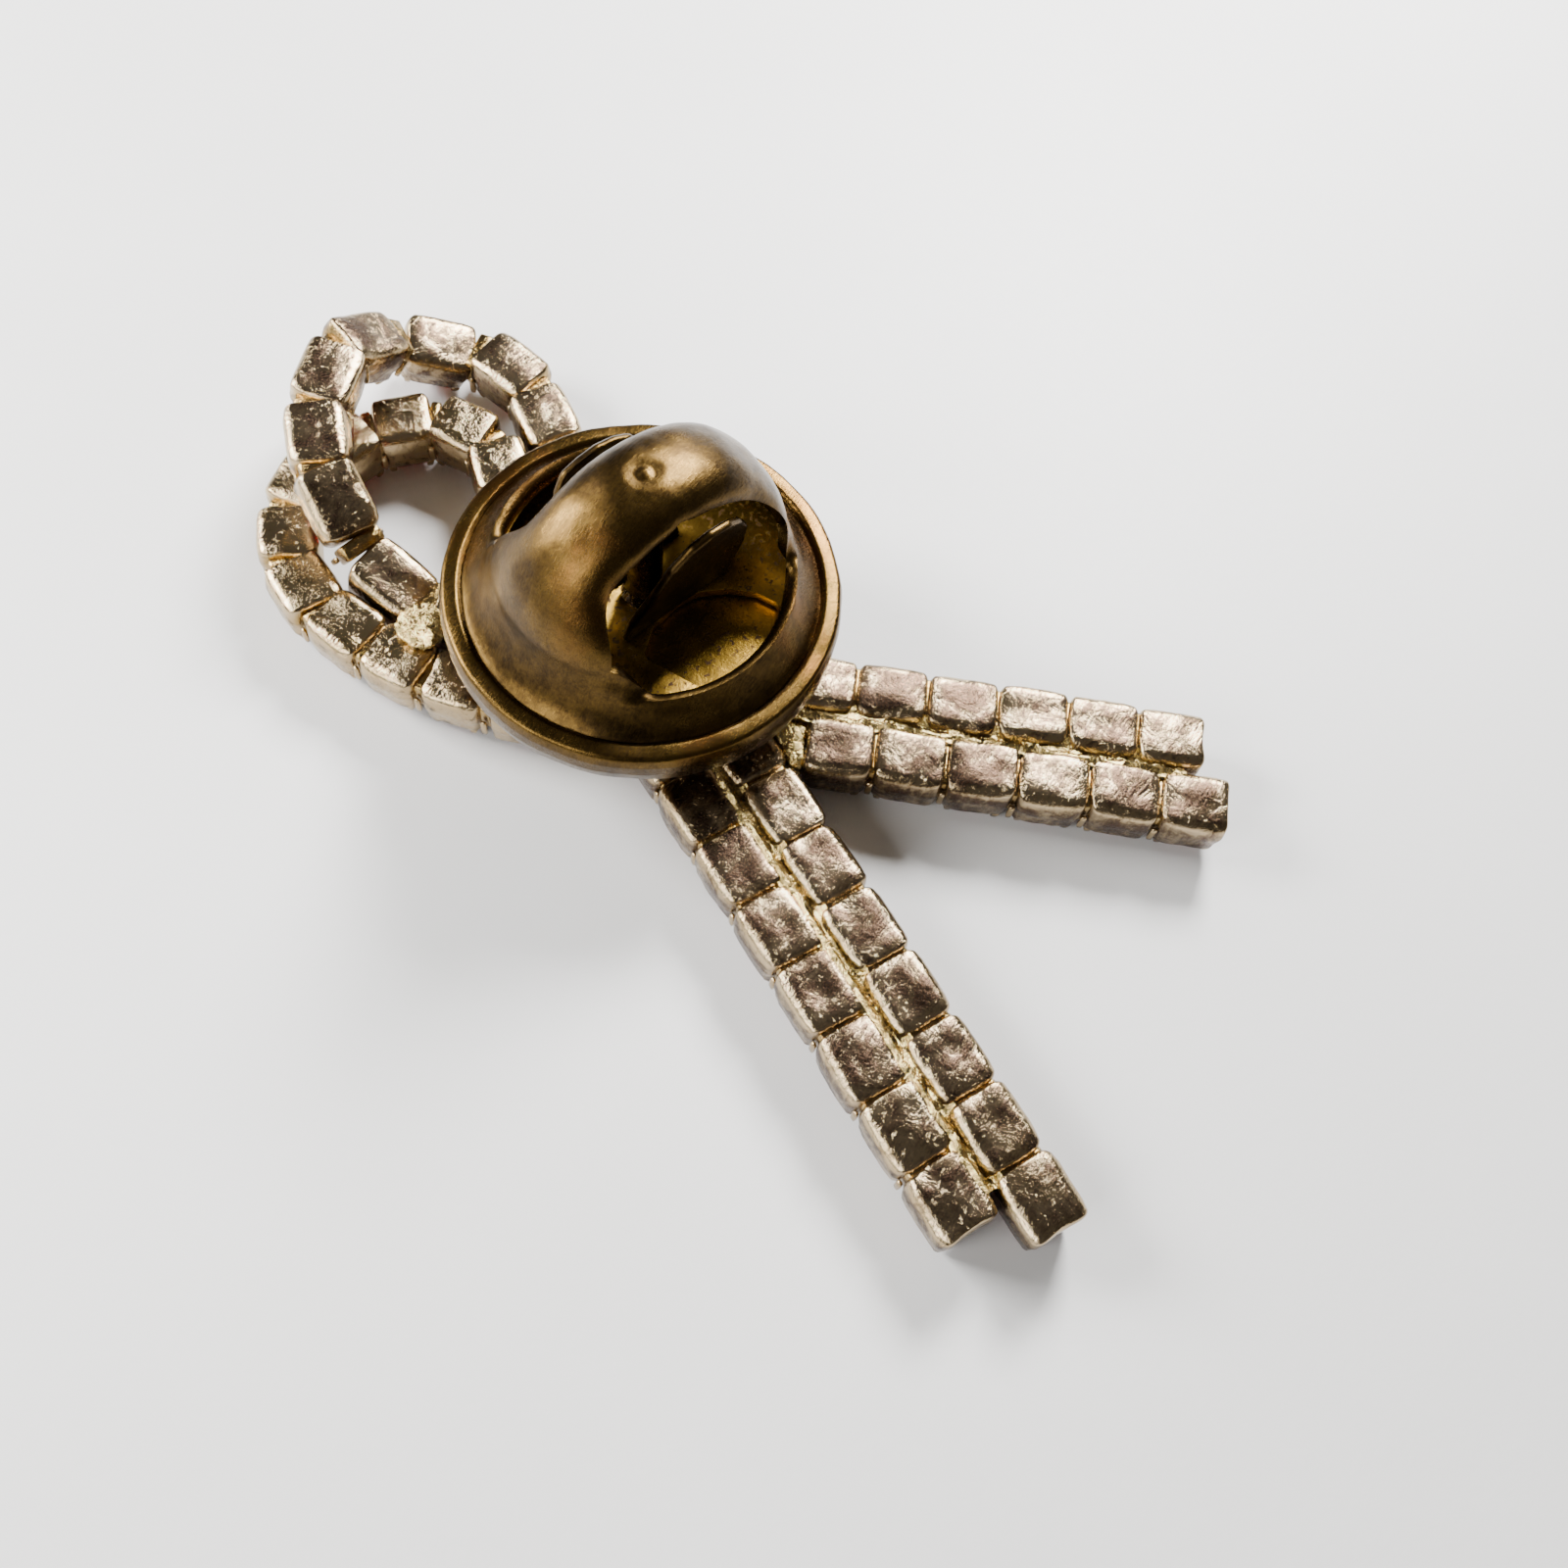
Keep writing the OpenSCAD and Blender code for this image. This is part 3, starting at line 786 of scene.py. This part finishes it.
def post_pieces(sizes, plate, solder):
    r = sizes.post / MM / 2
    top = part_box("post")[1][2] / MM
    outline = [
        (0, -0.02), (r, -0.02), (r, 0.93), (r - 0.17, 1.0), (r - 0.17, 2.08), (r, 2.17),
        (r, top - 0.95), (0.1, top - 0.02), (0, top),
    ]
    bm = turned(rounded_outline(outline, [0, 0, 0.05, 0.04, 0.04, 0.05, 0.12, 0.05, 0], 3), 48)
    finished(bm, "turned_post", "badge", ["post"], [plate], sharp=30)
    low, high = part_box("post_pad")
    pad_r = (high[0] - low[0]) / MM / 2
    depth = low[2] / MM
    outline = [
        (0, depth - 0.25), (pad_r - 0.3, depth - 0.25), (pad_r, depth), (pad_r - 0.35, -0.12),
        (r + 0.42, -0.04), (r, 0.14), (0, 0.14),
    ]
    bm = turned(rounded_outline(outline, [0, 0.05, 0.1, 0.12, 0.3, 0, 0], 4), 64)
    for v in bm.verts:
        flat = math.hypot(v.co.x, v.co.y)
        if flat > r + 0.05:
            around = math.atan2(v.co.y, v.co.x)
            grow = 1 + 0.13 * noise.noise(Vector((2 * math.cos(around), 2 * math.sin(around), 4)))
            v.co.x *= grow
            v.co.y *= grow
    roughen(bm, 0.7, 0.05, 3, lambda co: math.hypot(co.x, co.y) > r + 0.1)
    finished(bm, "post_pad_solder", "badge", ["post_pad"], [solder], sharp=80)


def clutch_base_piece(sizes, rim, inside):
    """Dished base with its edge rolled over the cover."""
    k = clutch_scale(sizes)
    low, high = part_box("clutch_base")
    z0, z1 = low[2] / MM, high[2] / MM
    ro = sizes.diameter / MM / 2
    outline = [
        (HOLE_R, z0 + 0.05), (4.2 * k, z0 + 0.04), (4.75 * k, z0 + 0.12), (ro - 0.42, z0),
        (ro - 0.08, z0 + 0.03), (ro, z0 + 0.5), (ro, z1 - 0.38), (ro - 0.08, z1 - 0.04),
        (ro - 0.52, z1), (ro - 0.66, z1 - 0.13), (ro - 0.68, z1 - 0.3), (ro - 0.5, z1 - 0.6),
        (4.75 * k, z0 + 0.5), (4.3 * k, z0 + 0.36), (0.75, z0 + 0.44), (HOLE_R, z0 + 0.36),
    ]
    radii = [0.02, 0.2, 0.2, 0.25, 0.12, 0.3, 0.3, 0.16, 0.16, 0.05, 0.05, 0.1, 0.2, 0.2, 0.05, 0.02]
    bm = turned(rounded_outline(outline, radii, 4), 120)
    for f in bm.faces:
        middle = f.calc_center_median()
        if math.hypot(middle.x, middle.y) < 4.9 * k and f.normal.z > 0.2:
            f.material_index = 1
    roughen(bm, 1.6, 0.035, 8, lambda co: math.hypot(co.x, co.y) > 1)
    return finished(
        bm, "clutch_base_dish", "clutch", ["clutch_base"], [rim, inside], sharp=35
    )


def clutch_cover_piece(sizes, material, inside):
    """Cover sheet: a sloping ring, and the arch left standing between its two windows."""
    k = clutch_scale(sizes)
    half = sizes.arch_width / MM / 2
    dome_r = 4.36 * k
    rim_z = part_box("clutch_base")[1][2] / MM - 0.1
    dome_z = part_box("clutch_arch")[1][2] / MM - dome_r + 0.1
    lip_r, lip_z, rim_r = 4.0 * k, rim_z + 0.95, 5.1 * k
    arch_cols, open_cols, dome_rows, lip_rows, ring_rows = 12, 22, 36, 8, 12
    per, rows = arch_cols + open_cols, dome_rows + lip_rows + ring_rows
    last = 76 * TURN

    def arch_line(row):
        """Radius, height and outward tilt of the arch's middle line at a row."""
        angle = min(1.0, row / dome_rows) * last
        r, z = dome_r * math.sin(angle), dome_z + dome_r * math.cos(angle)
        if row > dome_rows:
            u = (row - dome_rows) / (lip_rows + ring_rows)
            bend = (r + 0.14 * k, rim_z + 0.45)
            r, z = (
                (1 - u) ** 2 * a + 2 * u * (1 - u) * b + u * u * c
                for a, b, c in zip((r, z), bend, (rim_r, rim_z))
            )
        return r, z, angle

    def ring_line(row):
        """Radius and height of the ring at a row: an edge turned down, a round lip, a slope."""
        turn = min(1.0, (row - dome_rows) / lip_rows) * math.pi / 2
        out = max(0.0, (row - dome_rows - lip_rows) / ring_rows)
        r = lip_r + 0.34 * (1 - math.cos(turn)) + (rim_r - lip_r - 0.34) * out
        z = lip_z - 0.38 * (1 - math.sin(turn)) - (lip_z - rim_z) * (1 - (1 - out) ** 1.25)
        return r, z

    def place(quarter, step, row):
        along = 1 if quarter in (0, 3) else -1
        across = 1 if quarter in (0, 1) else -1
        r, z, tilt = arch_line(row)
        foot = eased(0.55, 1.0, row / dome_rows)
        wide = half + foot * (0.95 if along < 0 else 0.3) * k
        edge = math.asin(min(1.0, wide / max(r, 1e-6)))
        azimuth = edge * min(1.0, step / arch_cols)
        side = min(1.0, r * math.sin(azimuth) / wide)
        curl = (0.5 * (1 - 0.6 * foot)) * (1 - math.sqrt(1 - 0.97 * side ** 3.2))
        if row > dome_rows:
            curl *= 1 - eased(dome_rows, dome_rows + 6, row)
        r -= curl * math.sin(tilt)
        z -= curl * math.cos(tilt) * 1.1
        if step > arch_cols:
            q = (step - arch_cols) / open_cols
            gap = (math.pi / 2 - edge) * q ** 1.5
            azimuth = edge + gap
            ring_r, ring_z = ring_line(max(row, dome_rows))
            blend = eased(0, (1.5 if along < 0 else 1.0) * k, gap * ring_r)
            r, z = r + (ring_r - r) * blend, z + (ring_z - z) * blend
        return Vector((along * r * math.cos(azimuth), across * r * math.sin(azimuth), z))

    bm = bmesh.new()
    bmesh.ops.create_grid(bm, x_segments=4 * per, y_segments=rows, size=1)
    col_of, row_of = {}, {}
    for v in bm.verts:
        col_of[v] = round((v.co.x + 1) / 2 * 4 * per)
        row_of[v] = round((v.co.y + 1) / 2 * rows)
    windows = []
    for f in bm.faces:
        row = min(row_of[v] for v in f.verts)
        steps = []
        for v in f.verts:
            quarter = min(col_of[x] for x in f.verts) // per
            step = col_of[v] - quarter * per
            steps.append(per - step if quarter % 2 else step)
        if row < dome_rows and max(steps) > arch_cols:
            windows.append(f)
    for v in bm.verts:
        quarter, step = divmod(col_of[v] % (4 * per), per)
        v.co = place(quarter, per - step if quarter % 2 else step, row_of[v])
        flat = math.hypot(v.co.x, v.co.y)
        if row_of[v] < 15:
            v.co.z += 0.17 * math.exp(-((flat / 0.16) ** 2)) - 0.13 * math.exp(-((flat / 0.34) ** 4))
    bmesh.ops.delete(bm, geom=windows, context="FACES")
    bmesh.ops.remove_doubles(bm, verts=bm.verts, dist=2e-3)
    bmesh.ops.dissolve_degenerate(bm, dist=1e-3, edges=bm.edges)
    bmesh.ops.recalc_face_normals(bm, faces=bm.faces)
    top = max(bm.faces, key=lambda f: f.calc_center_median().z)
    if top.normal.z < 0:
        bmesh.ops.reverse_faces(bm, faces=bm.faces)
    roughen(bm, 1.5, 0.03, 21)
    facing_arch(bm, sizes)
    return finished(
        bm, "clutch_cover", "clutch", ["clutch_arch"], [material, inside], sharp=60,
        modifiers=[
            # The sheet's inner side takes the second material, a darker copy of the brass that is painted
            # shade under the arch
            ("SOLIDIFY", {"thickness": sizes.sheet * 0.85, "offset": -1.0, "material_offset": 1}),
            ("BEVEL", {"width": 0.00006, "segments": 2, "limit_method": "ANGLE", "angle_limit": 50 * TURN}),
        ],
    )


def sheet(outlines, low, high, bevel=0.05):
    """A flat sheet with round edges: the first outline is its edge, the rest are its holes."""
    bm = bmesh.new()
    for outline in outlines:
        ring = bmesh.ops.create_circle(bm, segments=len(outline), radius=1)["verts"]
        for v, (x, y) in zip(ring, outline):
            v.co = (x, y, low)
    bmesh.ops.triangle_fill(bm, use_beauty=True, use_dissolve=False, edges=bm.edges, normal=(0, 0, 1))
    grown = bmesh.ops.extrude_face_region(bm, geom=bm.faces[:])["geom"]
    upper = [g for g in grown if isinstance(g, bmesh.types.BMVert)]
    bmesh.ops.translate(bm, vec=(0, 0, high - low), verts=upper)
    bmesh.ops.recalc_face_normals(bm, faces=bm.faces)
    rims = [e for e in bm.edges if len(e.link_faces) == 2 and 60 * TURN < e.calc_face_angle(0) < 120 * TURN
            and abs(e.verts[0].co.z - e.verts[1].co.z) < 1e-5]
    bmesh.ops.bevel(
        bm, geom=rims, offset=bevel, offset_type="OFFSET", segments=2, profile=0.5,
        affect="EDGES", material=-1,
    )
    return bm


def arc(r, start, end, steps):
    return [
        (r * math.cos(start + (end - start) * i / steps), r * math.sin(start + (end - start) * i / steps))
        for i in range(steps + 1)
    ]


def spring_plate_piece(sizes, material):
    """Yellow plate under the cover, with an opening on each side of the post."""
    k = clutch_scale(sizes)
    low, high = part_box("spring_plate")
    hole = arc(HOLE_R, 0, 2 * math.pi * 47 / 48, 47)
    corners = [
        (0.5, -0.95), (1.2, -1.05), (1.95, -1.5), (2.5, -2.1), (2.8, -2.9),
        (1.4, -3.7), (-0.62, -3.9), (-1.4, -1.7), (-0.5, -1.1),
    ]
    radii = [0.2, 0.4, 0.5, 0.5, 0.3, 0.3, 0.3, 0.3, 0.3]
    near = rounded_outline([(x * k, y * k) for x, y in corners], radii, 4)
    far = [(x, -y) for x, y in near]
    edge = arc(4.85 * k, 0, 2 * math.pi * 95 / 96, 95)
    bm = sheet([edge, hole, near, far], low[2] / MM, high[2] / MM, 0.04)
    facing_arch(bm, sizes)
    return finished(bm, "spring_sheet", "clutch", ["spring_plate"], [material], sharp=40)


def wing_piece(sizes, name, body, side, lean, points, material):
    """A sprung wing: an upright tongue with a rounded top, bent up from a flat leaf at the post."""
    k = clutch_scale(sizes)
    leaf_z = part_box(name)[0][2] / MM
    corner = [0.1] + [0.35] * (len(points) - 2) + [0.1]
    outline = rounded_outline([(t * k, (z - leaf_z) * k) for t, z in points], corner, 3)
    bm = sheet([outline], 0, 0.27, 0.1)
    bmesh.ops.rotate(bm, cent=(0, 0, 0), matrix=Matrix.Rotation(90 * TURN, 3, "X"), verts=bm.verts)
    for v in bm.verts:
        v.co.y = -v.co.y + 0.05 * noise.noise(v.co / 1.6)
    bmesh.ops.recalc_face_normals(bm, faces=bm.faces)
    bmesh.ops.rotate(bm, cent=(0, 0, 0), matrix=Matrix.Rotation(-lean, 3, "X"), verts=bm.verts)
    bmesh.ops.translate(bm, vec=(0, 0.8 * k, leaf_z), verts=bm.verts)
    low = [(-0.95, 0.62), (0.95, 0.62), (0.95, 0.98), (-0.95, 0.98)]
    edge = rounded_outline([(x * k, y * k) for x, y in low], [0.05] * 4, 2)
    leaf = sheet([edge], leaf_z + 0.005, leaf_z + 0.24, 0.04)
    spare = bpy.data.meshes.new("spare")
    leaf.to_mesh(spare)
    leaf.free()
    bm.from_mesh(spare)
    bpy.data.meshes.remove(spare)
    if side < 0:
        bmesh.ops.mirror(bm, geom=bm.verts[:] + bm.edges[:] + bm.faces[:], axis="Y", merge_dist=0)
        bmesh.ops.delete(bm, geom=[f for f in bm.faces if f.calc_center_median().y > 0], context="FACES")
        bmesh.ops.recalc_face_normals(bm, faces=bm.faces)
    facing_arch(bm, sizes)
    return finished(bm, name + "_tongue", body, [name], [material], sharp=45)


# ---------------------------------------------------------------- operators

# The materials, by the name the other operators ask for them with
made = {}


def ribbon_of(context):
    return Ribbon(context.scene.pin_ribbon)


class PIN_OT_finishes(Operator):
    """Makes the materials from the finish colours"""

    bl_idname = "lapel_pin.finishes"
    bl_label = "Finishes"

    def execute(self, context):
        look = context.scene.pin_finish
        made.update(
            plate=tarnished_plate("tarnished_plate", 0.0, look),
            clean=tarnished_plate("cleaner_plate", -0.13, look),
            solder=bright_solder("solder", look),
            brass=aged_brass("aged_brass", 0.0, look),
            rim=aged_brass("rim_brass", 0.05, look),
            # Painted shade: a darker copy of the aged brass for the inner side of the cover's sheet
            shade=aged_brass("painted_shade_brass", -0.35, look),
            spring=spotted_brass("spring_brass", look),
            stone=red_glass("red_glass", look),
        )
        return {"FINISHED"}


class PIN_OT_legs(Operator):
    """Builds the four strips of cups in the ribbon's legs and their stones"""

    bl_idname = "lapel_pin.legs"
    bl_label = "Legs"

    def execute(self, context):
        ribbon = ribbon_of(context)
        dents = context.scene.pin_ribbon.dents / MM
        for seed, leg in enumerate(ribbon.legs):
            places, gaps = leg_places(ribbon, leg)
            tones = [
                0.35 + 0.3 * noise.noise(Vector((i * 1.7, seed * 3.1, 0)))
                for i in range(len(places))
            ]
            strip_piece(
                context, leg, ribbon, places, gaps, 1.0, dents,
                made["plate"], tones, 11 + seed,
            )
            stones_piece(leg, ribbon, places, made["stone"])
        return {"FINISHED"}


class PIN_OT_loop(Operator):
    """Builds the two strips of cups that cross in the ribbon's loop and their stones"""

    bl_idname = "lapel_pin.loop"
    bl_label = "Loop"

    def execute(self, context):
        ribbon = ribbon_of(context)
        dents = context.scene.pin_ribbon.dents / MM
        for seed, loop in enumerate(ribbon.loops):
            rolls = {4: -12, 5: -14, 6: -8} if loop == "loop_upper" else {}
            places, gaps = loop_places(ribbon, loop, rolls)
            tones = [
                0.3 + 0.3 * noise.noise(Vector((i * 1.3, seed * 7.7, 5)))
                for i in range(len(places))
            ]
            strip_piece(
                context, loop, ribbon, places, gaps, 0.965 * ribbon.loops[loop][3] / ribbon.pitch, dents,
                made["plate" if seed == 0 else "clean"], tones, 31 + seed,
            )
            stones_piece(loop, ribbon, places, made["stone"])
        return {"FINISHED"}


class PIN_OT_solder(Operator):
    """Builds the solder seams between twin strips and the solder runs at the crossings"""

    bl_idname = "lapel_pin.solder"
    bl_label = "Solder"

    def execute(self, context):
        ribbon = ribbon_of(context)
        k = ribbon.k
        for name, angle, middle in (
            ("left_seam", ribbon.left, ribbon.left_mid), ("right_seam", ribbon.right, ribbon.right_mid)
        ):
            inner = "left_outer" if name == "left_seam" else "right_outer"
            far, count = ribbon.legs[inner][2:]
            near = far - count * ribbon.pitch + 0.2 * k
            seam_piece(name, ribbon, angle, middle, near, far - 0.6, made["solder"], 3 + len(name))
        for seed, node in enumerate(("loop_end_solder", "right_leg_solder", "loop_side_solder")):
            solder_from_node(node, made["solder"], 5 + 4 * seed)
        return {"FINISHED"}


class PIN_OT_post(Operator):
    """Builds the post and the solder pad that holds it"""

    bl_idname = "lapel_pin.post"
    bl_label = "Post"

    def execute(self, context):
        post_pieces(context.scene.pin_clutch, made["clean"], made["solder"])
        return {"FINISHED"}


class PIN_OT_clutch_base(Operator):
    """Builds the clutch's base with its rolled rim"""

    bl_idname = "lapel_pin.clutch_base"
    bl_label = "Clutch base"

    def execute(self, context):
        clutch_base_piece(context.scene.pin_clutch, made["rim"], made["spring"])
        return {"FINISHED"}


class PIN_OT_clutch_cover(Operator):
    """Builds the clutch's cover ring and arch"""

    bl_idname = "lapel_pin.clutch_cover"
    bl_label = "Clutch cover"

    def execute(self, context):
        clutch_cover_piece(context.scene.pin_clutch, made["brass"], made["shade"])
        return {"FINISHED"}


class PIN_OT_clutch_spring(Operator):
    """Builds the spring plate and the two wings"""

    bl_idname = "lapel_pin.clutch_spring"
    bl_label = "Clutch spring and wings"

    def execute(self, context):
        sizes = context.scene.pin_clutch
        spring_plate_piece(sizes, made["spring"])
        near = [
            (-1.5, 1.8), (-1.45, 2.8), (-0.95, 3.9), (-0.5, 5.3), (0.1, 5.95), (0.7, 6.15),
            (1.4, 6.0), (1.9, 5.6), (2.3, 4.9), (2.45, 3.8), (2.4, 2.4), (2.35, 1.8),
        ]
        far = [
            (-1.5, 1.8), (-1.55, 4.5), (-1.4, 5.5), (-1.0, 6.0), (-0.4, 6.15), (0.2, 6.2),
            (0.8, 6.1), (1.3, 5.9), (1.6, 5.4), (1.9, 4.2), (2.1, 1.8),
        ]
        wing_piece(sizes, "near_wing", "near_wing", -1, 12 * TURN, near, made["brass"])
        wing_piece(sizes, "far_wing", "far_wing", 1, 17 * TURN, far, made["brass"])
        return {"FINISHED"}


class PIN_OT_stage(Operator):
    """Sets the table, the lights and the camera"""

    bl_idname = "lapel_pin.stage"
    bl_label = "Stage"

    def execute(self, context):
        bm = bmesh.new()
        bmesh.ops.create_grid(bm, x_segments=1, y_segments=1, size=900)
        bmesh.ops.translate(bm, vec=(0, 0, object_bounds()[0][2] / MM - FLOOR_GAP), verts=bm.verts)
        table = finished(bm, "table", None, None, [pale_table("pale_table")])
        table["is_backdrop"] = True
        for name, where, size, power in LAMPS:
            light = bpy.data.lights.new(name, "AREA")
            light.size = size * MM
            light.energy = power
            lamp = bpy.data.objects.new(name, light)
            spot = Vector(where) * MM
            lamp.matrix_world = Matrix.Translation(spot) @ spot.to_track_quat("Z", "Y").to_matrix().to_4x4()
            context.collection.objects.link(lamp)
        world = bpy.data.worlds.new("soft_room")
        world.use_nodes = True
        for socket, value in zip(world.node_tree.nodes["Background"].inputs, ROOM_LIGHT):
            socket.default_value = value
        context.scene.world = world
        lens = bpy.data.cameras.new("camera")
        lens.lens = LENS
        lens.sensor_width = 36
        lens.clip_start = 0.001
        camera = bpy.data.objects.new("camera", lens)
        look, up = Vector(VIEW_TOWARDS), Vector(VIEW_UP)
        turn = Matrix((look.cross(up), up, -look)).transposed()
        camera.matrix_world = Matrix.Translation(Vector(VIEW_FROM) * MM) @ turn.to_4x4()
        context.collection.objects.link(camera)
        context.scene.camera = camera
        return {"FINISHED"}


class PIN_PT_panel(Panel):
    """Lapel pin builder"""

    bl_label = "Lapel Pin"
    bl_idname = "PIN_PT_panel"
    bl_space_type = "VIEW_3D"
    bl_region_type = "UI"
    bl_category = "Lapel Pin"

    def draw(self, context):
        for group in ("pin_ribbon", "pin_clutch", "pin_finish"):
            box = self.layout.box()
            sizes = getattr(context.scene, group)
            for key in sizes.__annotations__:
                box.prop(sizes, key)
        for step in STEPS:
            self.layout.operator(step.bl_idname)


STEPS = (
    PIN_OT_finishes, PIN_OT_legs, PIN_OT_loop, PIN_OT_solder, PIN_OT_post, PIN_OT_clutch_base,
    PIN_OT_clutch_cover, PIN_OT_clutch_spring, PIN_OT_stage,
)
GROUPS = (PIN_PG_ribbon, PIN_PG_clutch, PIN_PG_finish)


def register():
    for each in GROUPS + STEPS + (PIN_PT_panel,):
        bpy.utils.register_class(each)
    bpy.types.Scene.pin_ribbon = PointerProperty(type=PIN_PG_ribbon)
    bpy.types.Scene.pin_clutch = PointerProperty(type=PIN_PG_clutch)
    bpy.types.Scene.pin_finish = PointerProperty(type=PIN_PG_finish)


def unregister():
    for name in ("pin_ribbon", "pin_clutch", "pin_finish"):
        delattr(bpy.types.Scene, name)
    for each in reversed(GROUPS + STEPS + (PIN_PT_panel,)):
        bpy.utils.unregister_class(each)


def main():
    register()
    for step in STEPS:
        group, action = step.bl_idname.split(".")
        if getattr(getattr(bpy.ops, group), action)() != {"FINISHED"}:
            raise RuntimeError(step.bl_label + " did not finish")


if __name__ == "__main__":
    main()
